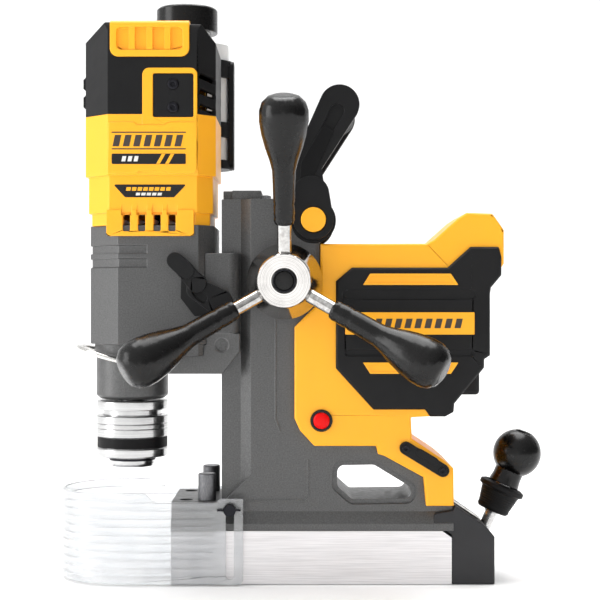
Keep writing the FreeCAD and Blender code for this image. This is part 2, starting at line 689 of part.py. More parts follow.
def lock_lever():
    """Cam lever on a stub that clamps the carriage."""
    hub = link(LOCK_PIVOT, 9.5, (-97, 213), 7.6, (-53, -43))
    web = side_plate([(-84, 194.5), (-90, 211), (-104.5, 224), (-108.6, 221), (-109, 206.5), (-99, 193.5)],
                     (-52, -43))
    arm = link((-97, 217), 6.6, LOCK_TIP, 5.2, (-56, -46))
    tip = link((-105, 226), 6.0, (-112.6, 233.2), 5.9, (-57, -45.5))
    pocket = link((-93, 206.5), 3.2, (-97.5, 211), 3.1, (-55, -51))
    stub = cross_rod(4, *LOCK_PIVOT, (-50, -29))
    return hub.fuse([web, arm, tip, stub]).removeSplitter().cut(pocket)


def gearbox_outer():
    block = plan_plate(GEARBOX_PLAN, (173, HOUSING_TOP))
    top_rim = plan_plate(shrunk(GEARBOX_PLAN, 2.5), (HOUSING_TOP - 0.01, 261))
    shoulder = plan_plate(shrunk(GEARBOX_PLAN, 1.5), (165, 173.01))
    # In front of the spindle the shoulder is round, so that the wire bail passes it.
    shoulder = shoulder.common(box((SPINDLE_X, 0), (-60, 60), (160, 180)).fuse(
        rod(28.3, (SPINDLE_X, 0, 160), (SPINDLE_X, 0, 180))))
    neck = turned([(0, NECK_BOTTOM), (23.5, NECK_BOTTOM), (NECK_RADIUS, 134.5), (NECK_RADIUS, 166), (0, 166)],
                  (SPINDLE_X, 0, 0), ALONG_Z)
    # A step toward the bracket, below the main block.
    step = box((-140, -100), (-36, 36), (152.2, 166))
    body = block.fuse([shoulder, neck, step]).removeSplitter()
    return body, top_rim


def gear_housing():
    body, _ = gearbox_outer()
    grooves = []
    for low, high in ((228.9, 234.9), (238.8, 244.6)):
        band = box((-190, -134), (-60, 60), (low, high))
        core = plan_plate(shrunk(GEARBOX_PLAN, 1.2), (low - 1, high + 1))
        grooves.append(band.cut(core))
    room = plan_plate(shrunk(GEARBOX_PLAN, 4.5), (188, HOUSING_TOP + 1))
    bore = rod(13, (SPINDLE_X, 0, 120), (SPINDLE_X, 0, 200))
    seats = [rod(17.5, (SPINDLE_X, 0, 137), (SPINDLE_X, 0, 149)),
             rod(17.5, (SPINDLE_X, 0, 176), (SPINDLE_X, 0, 189))]
    bail_holes = rod(2.3, (SPINDLE_X, -30, 159), (SPINDLE_X, -21, 159))
    for cutter in grooves + [room, bore] + seats + both_sides(bail_holes):
        body = body.cut(cutter)
    lay_shaft = rod(2, (*IDLER, 184), (*IDLER, 252))
    return body.cut(lay_shaft)


def idler_centre():
    """The lay shaft's place, from the two centre distances it has to keep."""
    first = (MOTOR_TEETH + IDLER_TEETH) * GEAR_MODULE / 2
    second = (LAYSHAFT_TEETH + SPINDLE_TEETH) * GEAR_MODULE / 2
    apart = MOTOR_X - SPINDLE_X
    x = (second ** 2 - first ** 2 + apart ** 2) / (2 * apart)
    return SPINDLE_X + x, math.sqrt(second ** 2 - x ** 2)


IDLER = idler_centre()
FIRST_STAGE, SECOND_STAGE = (240, 250), (216, 228)


def intermediate_gear():
    toward_motor = math.atan2(-IDLER[1], MOTOR_X - IDLER[0])
    toward_spindle = math.atan2(-IDLER[1], SPINDLE_X - IDLER[0])
    large = gear(IDLER_TEETH, GEAR_MODULE, IDLER, FIRST_STAGE, toward_motor)
    small = gear(LAYSHAFT_TEETH, GEAR_MODULE, IDLER, (SECOND_STAGE[0] - 1, 234), toward_spindle)
    sleeve = rod(4, (*IDLER, 233), (*IDLER, 251))
    bore = rod(2 + FIT, (*IDLER, 200), (*IDLER, 260))
    return large.fuse([small, sleeve]).removeSplitter().cut(bore)


def lay_pin():
    return rod(2, (*IDLER, 184), (*IDLER, 252))


def spindle():
    phase = math.atan2(IDLER[1], IDLER[0] - SPINDLE_X) + math.pi / SPINDLE_TEETH
    wheel = gear(SPINDLE_TEETH, GEAR_MODULE, (SPINDLE_X, 0), SECOND_STAGE, phase)
    profile = [(0, 122), (9, 122), (9, 150), (10, 151), (10, 174), (9, 175), (9, 236), (0, 236)]
    shaft = turned(profile, (SPINDLE_X, 0, 0), ALONG_Z)
    return shaft.fuse(wheel).removeSplitter()


def head_bearings():
    rings = []
    for low, high in ((138, 148), (178, 188)):
        ring = rod(17.5, (SPINDLE_X, 0, low), (SPINDLE_X, 0, high))
        rings.append(ring.cut(rod(9 + FIT, (SPINDLE_X, 0, 100), (SPINDLE_X, 0, 300))))
    for low, high in ((256.2, 262.2), (350, 356)):
        ring = rod(11, (MOTOR_X, 0, low), (MOTOR_X, 0, high))
        rings.append(ring.cut(rod(4 + FIT, (MOTOR_X, 0, 100), (MOTOR_X, 0, 400))))
    return rings


def chuck_body():
    """Quick-change chuck: flange, core and nose, bored for a flat-sided cutter shank."""
    profile = [(0, 121.5), (0, 130.8), (25.4, 130.8), (26.4, 130), (26.4, 125), (25.8, 123.7), (21.5, 123.7),
               (21.5, 118.5), (16.8, 118.5), (16.8, 84), (15.6, CHUCK_BOTTOM), (0, CHUCK_BOTTOM)]
    body = turned(profile, (SPINDLE_X, 0, 0), ALONG_Z)
    shank = rod(SHANK_RADIUS, (SPINDLE_X, 0, CHUCK_BOTTOM), (SPINDLE_X, 0, 120))
    return body.cut([shank, spindle()])


def release_collar():
    outside = [(25.9, 89), (26.6, 90), (26.6, 95), (25.8, 95.6), (25.8, 103.6), (26.6, 104.2), (26.6, 109.7),
               (26.1, 110.1), (26.6, 110.5), (26.6, 113.3), (26.1, 113.7), (26.6, 114.1), (26.6, 119),
               (26, 119.6)]
    inside = [(22, 119.6), (22, 112), (16.8 + FIT, 112), (16.8 + FIT, 89)]
    return turned(outside + inside, (SPINDLE_X, 0, 0), ALONG_Z)


def rotor():
    """Motor shaft with its magnet stack, cooling fan and cut pinion."""
    profile = [(0, 250), (4, 250), (4, 292), (13.6, 292), (13.6, 338), (4, 338), (4, 357), (0, 357)]
    shaft = turned(profile, (MOTOR_X, 0, 0), ALONG_Z)
    phase = math.atan2(IDLER[1], IDLER[0] - MOTOR_X) + math.pi / MOTOR_TEETH
    pinion = gear(MOTOR_TEETH, GEAR_MODULE, (MOTOR_X, 0), (239, 251), phase)
    hub = rod(8, (MOTOR_X, 0, 270), (MOTOR_X, 0, 280))
    disc = rod(27, (MOTOR_X, 0, 278), (MOTOR_X, 0, 280))
    blades = []
    for k in range(9):
        blade = box((MOTOR_X + 7, MOTOR_X + 26), (-0.8, 0.8), (270, 279))
        blade.rotate(V(MOTOR_X, 0, 0), ALONG_Z, k * 40)
        blades.append(blade)
    return shaft.fuse([pinion, hub, disc] + blades).removeSplitter()


def stator():
    ring = rod(28, (MOTOR_X, 0, 290), (MOTOR_X, 0, 340)).cut(rod(14.2, (MOTOR_X, 0, 280), (MOTOR_X, 0, 350)))
    slots = []
    for k in range(6):
        slot = box((MOTOR_X + 16.5, MOTOR_X + 23.5), (-5, 5), (284, 345))
        slot.rotate(V(MOTOR_X, 0, 0), ALONG_Z, k * 60 + 30)
        slots.append(slot)
    return ring.cut(slots)


def motor_body():
    """Outside of the whole motor housing, with the frame round the switch plate."""
    upper = plan_plate(MOTOR_PLAN, (294.7, MOTOR_TOP))
    lower = plan_plate(shrunk(MOTOR_PLAN, 2.2), (268, 295))
    skirt = plan_plate(shrunk(MOTOR_PLAN, 4.4), (HOUSING_TOP, 268.5))
    body = upper.fuse([lower, skirt])
    for side in (-1, 1):
        tab = box(TAB, (side * 42.05, side * 44.2), (251.2, 270))
        tab = rounded(tab, 2, ALONG_Y, lambda c: c.z < 260)
        frame = box(FRAME, (side * 38, side * (MOTOR_HALF + 0.6)), (320, FRAME_TOP))
        frame = rounded(frame, 5, ALONG_Y, lambda c: c.z > 340)
        raised = side_plate([(-162, 296), (-141, 296), (-139, 298), (-120, 298), (-118, 296), (-100, 296),
                             (-98, 298.5), (-98, 333), (-118, 333), (-121, 331), (-141, 331), (-143, 333),
                             (-161, 333)], (side * 40, side * (MOTOR_HALF + 1)))
        body = body.fuse([tab, frame, raised])
    ramps = []
    for x in VENTS:
        for side in (-1, 1):
            ramps.append(prism([V(x - 3.6, side * 46, 276), V(x - 3.6, side * 42.9, 276),
                                V(x - 3.6, side * 41.6, 266.5), V(x - 3.6, side * 46, 266.5)], V(7.2, 0, 0)))
    return body.removeSplitter().cut(ramps)


def motor_room():
    """Space inside the motor housing, with the bulkheads that hold the two bearings."""
    inside = shrunk(MOTOR_PLAN, 3.2)
    room = plan_plate(shrunk(MOTOR_PLAN, 7.2), (264, 297))
    room = room.fuse(plan_plate(inside, (296, MOTOR_TOP + 60)))
    shelf = box((-190, -80), (-60, 60), (348, 351))
    room = room.cut(shelf).fuse([
        rod(11, (MOTOR_X, 0, 256.2), (MOTOR_X, 0, 262.2)),
        rod(11, (MOTOR_X, 0, 350), (MOTOR_X, 0, 356)),
        rod(6, (MOTOR_X, 0, 250), (MOTOR_X, 0, 400)),
    ])
    collar = rod(31, (MOTOR_X, 0, 296), (MOTOR_X, 0, 334)).cut(
        rod(28, (MOTOR_X, 0, 280), (MOTOR_X, 0, 350)))
    return room.cut(collar)


def motor_halves():
    body = motor_body()
    shell = body.cut(motor_room())
    plates = []
    for side in (-1, 1):
        plate = box(PLATE, (side * 42.6, side * 47), PLATE_Z)
        plates.append(rounded(plate, 1.5, ALONG_Y))
    vents = [rounded(box((x - 2.6, x + 2.6), (-50, 50), (254.6, 266.7)), 1.2, ALONG_Y) for x in VENTS]
    vents = [vent.cut(box((-200, 0), (-42.04, 42.04), (200, 259.3))) for vent in vents]
    shell = shell.cut(plates + vents)
    # Above the joint only the frames are left; the cover has the rest.
    above = box((-200, -60), (-60, 60), (MOTOR_TOP, 420))
    for side in (-1, 1):
        above = above.cut(box(FRAME, (side * 41, side * 60), (300, 420)))
    shell = shell.cut(above)
    near = shell.common(box((-200, -60), (-60, 0), (240, 420)))
    far = shell.common(box((-200, -60), (0, 60), (240, 420)))
    return near, far


def top_cover(near, far):
    outline = [(-180.5, 333), (-180.5, 393), (-164, COVER_TOP), (-95, COVER_TOP - 2), (-84.9, 391.5),
               (-84.9, 333)]
    profile = side_plate(outline, (-60, 60))
    body = plan_plate(MOTOR_PLAN, (MOTOR_TOP, 420)).common(profile)
    edge = [(-MOTOR_HALF, 330), (-MOTOR_HALF, 399), (-39, 410), (39, 410), (MOTOR_HALF, 399),
            (MOTOR_HALF, 330)]
    body = body.common(end_plate(edge, (-200, -60)))
    bumps = []
    for low, high in ((344, 356), (357.5, 369)):
        bump = side_plate([(-179, low - 1), (-182.6, low + 2.5), (-182.6, high - 2.5), (-179, high + 1)], (-24, 24))
        bumps.append(bump)
    body = body.fuse(bumps).removeSplitter()
    hollow = plan_plate(shrunk(MOTOR_PLAN, 3), (MOTOR_TOP - 1, 388))
    hollow = hollow.fuse(plan_plate(shrunk(MOTOR_PLAN, 16), (387, 400)))
    slots = []
    for z in (343, 354, 365):
        for side in (-1, 1):
            slot = box((-100, -80), (side * 31, side * 44), (z - 2, z + 2.2))
            slot.rotate(V(-90, side * 39, z), ALONG_X, side * 18)
            slots.append(slot)
    body = body.cut([hollow] + slots + [near, far])
    for side in (-1, 1):
        body = body.cut(box(FRAME, (side * 41, side * 60), (330, FRAME_TOP - 4)))
    return body.cut(insert_block())


def insert_block():
    block = box(INSERT, (-MOTOR_HALF - 0.8, MOTOR_HALF + 0.8), (INSERT_LOW, COVER_TOP + 0.8))
    block = rounded(block, 6, ALONG_Y, lambda c: c.z < 390)
    core = box((-200, 0), (-41, 41), (370, 401.5))
    return block.cut(core)


def top_insert():
    """Yellow vent saddle over the top of the cover, with its finned recess on each side."""
    saddle = insert_block()
    top = [e for e in saddle.Edges if e.CenterOfMass.z > COVER_TOP + 0.7 and abs(e.CenterOfMass.y) > 45]
    saddle = saddle.makeFillet(4, top)
    for side in (-1, 1):
        recess = box((-155.5, -108), (side * 43, side * 50), (385, 401))
        recess = rounded(recess, 3, ALONG_Y)
        fins = [box((x - 2.2, x + 2.2), (side * 42.5, side * 45.2), (384, 402)) for x in (-144.5, -131.8, -119)]
        for fin in fins:
            recess = recess.cut(fin)
        saddle = saddle.cut(recess)
    return saddle


def switch_plates():
    plates = []
    for side in (-1, 1):
        plate = box((PLATE[0] + 0.2, PLATE[1] - 0.2), (side * 42.7, side * (MOTOR_HALF + 0.2)),
                    (PLATE_Z[0] + 0.2, PLATE_Z[1] - 0.2))
        plate = rounded(plate, 1.3, ALONG_Y)
        for z in (343.5, 360.3):
            plate = plate.cut(cross_rod(3.2, -114.8, z, (side * 44.6, side * 50)))
        plates.append(plate)
    return plates


# ---------------------------------------------------------------- coolant bottle and wire bail
def bottle_band(grow, z):
    outer = ellipse_plate((BOTTLE_X, BOTTLE_Y), (33.5 + grow, 22.5 + grow), z)
    return outer.cut(ellipse_plate((BOTTLE_X, BOTTLE_Y), (33.5, 22.5), (z[0] - 1, z[1] + 1)))


def bottle_cage():
    tray = ellipse_plate((BOTTLE_X, BOTTLE_Y), (36, 25), (309, 312))
    bands = [bottle_band(2.5, (334, 346)), bottle_band(2.5, (381, 395)), bottle_band(2.5, (311, 316))]
    posts = []
    for x in (BOTTLE_X - 37.5, BOTTLE_X + 33.3):
        post = box((x, x + 4.2), (BOTTLE_Y - 8, BOTTLE_Y + 8), (309, 395))
        posts.append(rounded(post, 5, ALONG_X))
    back = box((-134, -100), (MOTOR_HALF + 0.2, MOTOR_HALF + 4.8), (376, 395))
    low_back = box((-150, -90), (MOTOR_HALF + 1.05, MOTOR_HALF + 4.8), (309, 330))
    spine = box((-145, -139), (MOTOR_HALF + 1.05, MOTOR_HALF + 4.8), (309, 395))
    frame = tray.fuse(bands + posts + [back, low_back, spine]).removeSplitter()
    clear = ellipse_plate((BOTTLE_X, BOTTLE_Y), (33.5, 22.5), (312, 400))
    return frame.cut([clear, insert_block(), motor_body()])


def bottle_outline(z):
    return ellipse_plate((BOTTLE_X, BOTTLE_Y), (33.2, 22.2), z)


def bottle():
    body = bottle_outline((312.2, 408))
    shoulder = Part.makeCone(26, 19.5, 9, V(BOTTLE_X, BOTTLE_Y, 405)).common(bottle_outline((404, 420)))
    neck = rod(18, (BOTTLE_X, BOTTLE_Y, 405), (BOTTLE_X, BOTTLE_Y, 432))
    solid = body.fuse([shoulder, neck]).removeSplitter()
    inside = ellipse_plate((BOTTLE_X, BOTTLE_Y), (31.4, 20.4), (314, 405))
    mouth = rod(15.5, (BOTTLE_X, BOTTLE_Y, 400), (BOTTLE_X, BOTTLE_Y, 440))
    return solid.cut([inside, mouth])


def bottle_cap():
    profile = [(0, 434.5), (18 + GAP, 434.5), (18 + GAP, 418), (24.2, 418), (24.2, 436), (22.6, 437.5),
               (0, 437.5)]
    cap = turned(profile, (BOTTLE_X, BOTTLE_Y, 0), ALONG_Z)
    return cap


BAIL_RADIUS, BAIL_WIRE = 31.0, 1.9
BAIL_TILT = 16


def wire_bail():
    """Steel wire loop that swings on the neck."""
    straight = 10.4
    bend = Part.makeTorus(BAIL_RADIUS, BAIL_WIRE, V(-straight, 0, 0))
    bend = bend.common(box((-80, -straight), (-40, 40), (-5, 5)))
    pieces = [bend]
    for side in (-1, 1):
        pieces.append(rod(BAIL_WIRE, (-straight, side * BAIL_RADIUS, 0), (0, side * BAIL_RADIUS, 0)))
        pieces.append(Part.makeSphere(BAIL_WIRE, V(0, side * BAIL_RADIUS, 0)))
        pieces.append(rod(BAIL_WIRE, (0, side * BAIL_RADIUS, 0), (0, side * 22.5, 0)))
    loop = pieces[0].fuse(pieces[1:]).removeSplitter()
    loop.rotate(MIDDLE, ALONG_Y, BAIL_TILT)
    loop.translate(V(SPINDLE_X, 0, 159))
    return loop


# ---------------------------------------------------------------- chip guard
GUARD_LOW, GUARD_HIGH, GUARD_SIDE_HIGH = 1.0, 66.1, 59.7
GUARD_END = -64.7


def chip_guard():
    """Clear U-shaped guard with stepped ribs, open toward the column."""
    steps = 11
    height = (GUARD_HIGH - GUARD_LOW) / steps
    ribs = []
    for k in range(steps):
        low = GUARD_LOW + k * height
        ribs += [(GUARD_OUTER - 0.9, low), (GUARD_OUTER, low + 0.35 * height), (GUARD_OUTER, low + 0.85 * height)]
    profile = [(GUARD_INNER, GUARD_LOW)] + ribs + [(GUARD_OUTER - 0.9, GUARD_HIGH), (GUARD_INNER, GUARD_HIGH)]
    front = turned(profile, (GUARD_X, 0, 0), ALONG_Z).common(box((-210, GUARD_X), (-60, 60), (0, 80)))
    ribbed = prism([V(GUARD_X, -r, z) for r, z in profile], V(-86 - GUARD_X, 0, 0))
    flat = box((-86, GUARD_END), (-GUARD_OUTER, -GUARD_INNER), (GUARD_LOW, GUARD_HIGH))
    flat = rounded(flat, 4, ALONG_Y, lambda c: c.x > -70)
    wall = ribbed.fuse(flat)
    trim = side_plate([(-134.9, 70), (-134.9, GUARD_HIGH), (-128.5, GUARD_SIDE_HIGH), (-84, GUARD_SIDE_HIGH),
                       (-81, 62.6), (-60, 62.6), (-60, 70)], (-60, 0))
    slot = link((GUARD_SCREW[0], 7.5), 3, (GUARD_SCREW[0], 55.0), 2.999, (-60, 0))
    wall = wall.cut([trim, slot])
    return front.fuse(both_sides(wall)).removeSplitter()


def wing_screw():
    x, z = GUARD_SCREW
    thread = cross_rod(2.5, x, z, (-GUARD_OUTER - GAP, -32))
    head = cross_rod(4.5, x, z, (-51.5, -GUARD_OUTER - GAP))
    wings = box((x - 9, x + 8), (-51, -48), (z - 0.7, z + 0.7))
    return head.fuse([thread, wings]).removeSplitter()


# ---------------------------------------------------------------- write every node
def build():
    save("magnet_housing", magnet_housing())
    save("fixed_magnets", magnet_bars(6, 17, 30.8, 0))
    save("shifting_magnets", shifting_magnets())
    casting = column_casting()
    save("column_casting", casting)
    save("base_screws", base_screws())
    save("stop_posts", stop_posts())
    save("end_cap", end_cap())
    save("gate_plate", gate_plate())
    save("lever_shaft", lever_shaft())
    save("ball_knob", ball_knob())
    save("lock_sleeve", lock_sleeve())

    far_shell = mirrored(rear_shell(casting))
    button_hole = cross_rod(7 + FIT, BUTTON_X, BUTTON_Z, (-60, -30))
    save("rear_housing_near", rear_shell(casting).cut(button_hole))
    save("rear_housing_far", far_shell)
    save("side_panel_near", side_panel())
    save("side_panel_far", mirrored(side_panel()))
    save("panel_inlays", panel_inlays())
    save("strap_bars", strap_bars())
    save("housing_screws", housing_screws())
    save("control_board", control_board())
    save("battery_terminals", battery_terminals())
    save("battery_case", battery_case())
    save("battery_cells", battery_cells())
    save("battery_release", battery_release())
    save("button_bezel", button_bezel())
    save("power_button", power_button())

    save("handle_pivot", handle_pivot())
    save("handle_arms", handle_arms())
    save("handle_grip", handle_grip())
    save("handle_lock_button", handle_lock_button())

    save("feed_bushings", feed_bushings())
    save("feed_shaft", feed_shaft())
    save("feed_hub", feed_hub())
    save("hub_cap", hub_cap())
    save("spoke_rods", spoke_rods())
    save("feed_grips", feed_grips())

    gearbox = gear_housing()
    save("slide_bar", slide_bar())
    save("feed_rack", feed_rack())
    save("carriage_bracket", carriage_bracket(gearbox_outer()[0]))
    save("lock_lever", lock_lever())
    save("gear_housing", gearbox)
    save("lay_pin", lay_pin())
    save("head_bearings", head_bearings())
    save("intermediate_gear", intermediate_gear())
    save("spindle", spindle())
    save("chuck_body", chuck_body())
    save("release_collar", release_collar())
    save("wire_bail", wire_bail())

    save("rotor", rotor())
    save("stator", stator())
    near, far = motor_halves()
    save("motor_housing_near", near)
    save("motor_housing_far", far)
    save("top_cover", top_cover(near, far))
    save("top_insert", top_insert())
    save("switch_plates", switch_plates())

    save("bottle_cage", bottle_cage())
    save("bottle", bottle())
    save("bottle_cap", bottle_cap())

    save("chip_guard", chip_guard())
    save("wing_screw_near", wing_screw())
    save("wing_screw_far", mirrored(wing_screw()))


build()
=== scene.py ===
"""Looks of a cordless magnetic drill press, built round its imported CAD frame.

The code gives sizes in millimetres and MM turns them to metres. Everything shares the frame's axes:
+Z up, the drill head toward -X and the operator's side toward -Y.
"""

import json
import math

import bmesh
import bpy
from bpy.props import FloatProperty, FloatVectorProperty, PointerProperty
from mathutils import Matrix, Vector
from mathutils.bvhtree import BVHTree

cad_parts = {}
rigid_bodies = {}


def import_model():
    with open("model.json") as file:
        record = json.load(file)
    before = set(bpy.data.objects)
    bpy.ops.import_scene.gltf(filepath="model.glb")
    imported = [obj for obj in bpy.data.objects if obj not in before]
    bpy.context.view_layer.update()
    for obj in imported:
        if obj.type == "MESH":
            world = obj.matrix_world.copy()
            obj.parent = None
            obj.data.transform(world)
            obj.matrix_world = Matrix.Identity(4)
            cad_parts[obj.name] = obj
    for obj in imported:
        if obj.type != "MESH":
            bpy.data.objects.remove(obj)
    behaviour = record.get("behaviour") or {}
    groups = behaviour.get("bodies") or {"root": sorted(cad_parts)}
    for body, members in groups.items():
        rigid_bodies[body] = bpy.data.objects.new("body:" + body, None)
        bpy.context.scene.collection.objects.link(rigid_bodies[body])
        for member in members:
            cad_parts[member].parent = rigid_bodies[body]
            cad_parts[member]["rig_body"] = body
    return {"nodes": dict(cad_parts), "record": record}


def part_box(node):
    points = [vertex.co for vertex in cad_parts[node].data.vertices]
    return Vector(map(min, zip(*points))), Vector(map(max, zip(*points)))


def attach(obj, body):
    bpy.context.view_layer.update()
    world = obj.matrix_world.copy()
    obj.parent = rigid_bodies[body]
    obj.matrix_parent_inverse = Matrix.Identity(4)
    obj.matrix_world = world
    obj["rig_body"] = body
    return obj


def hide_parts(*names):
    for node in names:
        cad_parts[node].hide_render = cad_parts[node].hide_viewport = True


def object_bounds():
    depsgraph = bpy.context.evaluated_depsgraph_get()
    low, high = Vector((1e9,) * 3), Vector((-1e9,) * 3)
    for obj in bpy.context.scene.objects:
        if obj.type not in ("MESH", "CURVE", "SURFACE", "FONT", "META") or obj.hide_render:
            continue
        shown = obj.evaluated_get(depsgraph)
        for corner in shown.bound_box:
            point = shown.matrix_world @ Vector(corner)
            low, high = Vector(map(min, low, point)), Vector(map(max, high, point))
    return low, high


bl_info = {
    "name": "Magnetic drill press looks",
    "version": (1, 0, 0),
    "blender": (4, 5, 0),
    "location": "3D View > Sidebar > Drill press",
    "description": "Materials, trim and a studio for a cordless magnetic drill press",
    "category": "Object",
}

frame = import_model()
NODES = frame["nodes"]
CAD_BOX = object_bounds()
MM = 0.001
NEAR, FAR = -1, 1  # the sides of the machine, as signs of Y


def middle(node):
    low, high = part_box(node)
    return (low + high) / 2


CHUCK = middle("chuck_body") / MM
HUB = middle("feed_hub") / MM


# ---------------------------------------------------------------- materials
def linear(colour):
    """A hex sRGB colour as linear RGBA."""
    parts = [int(colour[k:k + 2], 16) / 255 for k in (1, 3, 5)]
    return (*[c / 12.92 if c <= 0.04045 else ((c + 0.055) / 1.055) ** 2.4 for c in parts], 1.0)


def add(tree, kind, inputs=None, out=0, **settings):
    """A shader node with its settings. An input is a value, or the socket that it is linked from."""
    made = tree.nodes.new(kind)
    for name, value in settings.items():
        setattr(made, name, value)
    for key, value in (inputs or {}).items():
        if isinstance(value, bpy.types.NodeSocket):
            tree.links.new(value, made.inputs[key])
        else:
            made.inputs[key].default_value = value
    return made.outputs[out] if made.outputs else made


class Surface:
    """One material while it is put together: its place on the object, its edges and its reliefs."""

    def __init__(self, name, edge_mm=0.5):
        self.material = bpy.data.materials.new(name)
        self.material.use_nodes = True
        self.tree = self.material.node_tree
        self.tree.nodes.clear()
        self.place = add(self.tree, "ShaderNodeTexCoord", out="Object")
        self.normal = add(self.tree, "ShaderNodeBevel", {"Radius": edge_mm * MM}, samples=4)
        true = add(self.tree, "ShaderNodeNewGeometry", out="True Normal")
        dot = add(self.tree, "ShaderNodeVectorMath", {0: self.normal, 1: true}, "Value",
                  operation="DOT_PRODUCT")
        self.edge = add(self.tree, "ShaderNodeMapRange", {"Value": dot, "From Min": 0.98, "From Max": 0.75})

    def pattern(self, size_mm, low=0.0, high=1.0, detail=2.0, stretch=None, along=None):
        """Noise about size_mm across, stretched from its middle values to a range."""
        scale = {"Scale": 1000 / size_mm, "Detail": detail}
        if along is not None:
            value = add(self.tree, "ShaderNodeTexNoise", {"W": along, **scale}, noise_dimensions="1D")
        else:
            place = self.place
            if stretch:
                place = add(self.tree, "ShaderNodeMapping", {"Vector": place, "Scale": stretch})
            value = add(self.tree, "ShaderNodeTexNoise", {"Vector": place, **scale})
        return add(self.tree, "ShaderNodeMapRange",
                   {"Value": value, "From Min": 0.3, "From Max": 0.7, "To Min": low, "To Max": high})

    def tones(self, pattern, first, second, edge_wear_and_highlight=None, most=0.5):
        """Two colours shared out by a pattern, going along edges toward a third, paler colour: partly wear,
        partly a painted edge highlight.
        """
        inputs = {0: pattern, 6: linear(first), 7: linear(second)}
        base = add(self.tree, "ShaderNodeMix", inputs, 2, data_type="RGBA")
        if edge_wear_and_highlight is None:
            return base
        # The paler edge tone is partly painted highlight: edges are lightened as if light caught them.
        amount = add(self.tree, "ShaderNodeMath", {0: self.edge, 1: most}, operation="MULTIPLY")
        return add(self.tree, "ShaderNodeMix", {0: amount, 6: base, 7: linear(edge_wear_and_highlight)}, 2, data_type="RGBA")

    def finish(self, reliefs, **inputs):
        """Lay the reliefs, pairs of height and depth in mm, over each other and close the shader."""
        for height, depth_mm in reliefs:
            self.normal = add(self.tree, "ShaderNodeBump", {
                "Height": height, "Distance": depth_mm * MM, "Strength": 1.0, "Normal": self.normal})
        named = {key.replace("_", " "): value for key, value in inputs.items()}
        shader = add(self.tree, "ShaderNodeBsdfPrincipled", {"Normal": self.normal, **named})
        add(self.tree, "ShaderNodeOutputMaterial", {"Surface": shader})
        return self.material


def moulded(name, colour, drift, edge_wear_and_highlight, roughness, grain_mm, depth_mm, coat=0.0, shine=0.35):
    """Injection-moulded plastic: spark-eroded grain, slight tone drift, and edges in a paler tone that is
    partly rubbed wear, partly painted highlight.
    """
    skin = Surface(name, 0.4)
    grain = skin.pattern(grain_mm, detail=3.0)
    base = skin.tones(skin.pattern(30), colour, drift, edge_wear_and_highlight)
    rough = skin.pattern(7, roughness - 0.04, roughness + 0.05, detail=4.0)
    return skin.finish([(grain, depth_mm)], Base_Color=base, Roughness=rough, IOR=1.5,
                       Specular_IOR_Level=shine, Coat_Weight=coat, Coat_Roughness=0.12)


def coated(name, colour, speck, edge_wear_and_highlight, roughness):
    """Metallic powder coat on a casting: orange peel over a slow cast waviness, paler at edges, partly where
    the coat thins and partly as a painted highlight.
    """
    skin = Surface(name, 0.6)
    base = skin.tones(skin.pattern(1.0, detail=3.0), colour, speck, edge_wear_and_highlight)
    rough = skin.pattern(5, roughness - 0.05, roughness + 0.07, detail=3.0)
    peel, waves = skin.pattern(1.5), skin.pattern(9)
    return skin.finish([(peel, 0.02), (waves, 0.03)], Base_Color=base, Roughness=rough, IOR=1.5,
                       Metallic=0.65)


def turned(name, colour, dark, roughness, axis, centre, line_mm=0.4, depth_mm=0.003):
    """Lathe-turned metal: fine rings round the axis that smear its reflections."""
    skin = Surface(name, 0.3)
    offset = add(skin.tree, "ShaderNodeVectorMath", {0: skin.place, 1: centre * MM}, operation="SUBTRACT")
    along = add(skin.tree, "ShaderNodeVectorMath", {0: offset, 1: axis}, "Value", operation="DOT_PRODUCT")
    across = add(skin.tree, "ShaderNodeVectorMath", {0: offset, 1: axis}, operation="CROSS_PRODUCT")
    radius = add(skin.tree, "ShaderNodeVectorMath", {0: across}, "Value", operation="LENGTH")
    path = add(skin.tree, "ShaderNodeMath", {0: along, 1: radius}, operation="ADD")
    rings = skin.pattern(line_mm, detail=3.0, along=path)
    wiped = skin.pattern(10, roughness - 0.04, roughness + 0.06, detail=3.0)
    return skin.finish([(rings, depth_mm)], Base_Color=skin.tones(rings, colour, dark),
                       Metallic=1.0, Roughness=wiped)


def brushed(name, colour, dark, roughness, stretch, line_mm=0.5, depth_mm=0.004):
    """Ground or drawn metal: long fine scratches one way under a faint wiped cloudiness."""
    skin = Surface(name, 0.35)
    scratch = skin.pattern(line_mm, detail=4.0, stretch=stretch)
    cloud = skin.pattern(25, roughness - 0.04, roughness + 0.05, detail=3.0)
    return skin.finish([(scratch, depth_mm)], Base_Color=skin.tones(scratch, colour, dark),
                       Metallic=1.0, Roughness=cloud)


def clear(name, colour, milk, roughness, transmission, ior):
    """Clear moulded plastic, a little frosted by its mould, with milky flow marks."""
    skin = Surface(name, 0.4)
    base = skin.tones(skin.pattern(16, detail=3.0), colour, milk)
    rough = skin.pattern(8, roughness - 0.05, roughness + 0.07)
    return skin.finish([(skin.pattern(1.2), 0.006)], Base_Color=base, Roughness=rough, IOR=ior,
                       Transmission_Weight=transmission)


UP, ACROSS = (0, 0, 1), (0, 1, 0)
FINISHES = {}


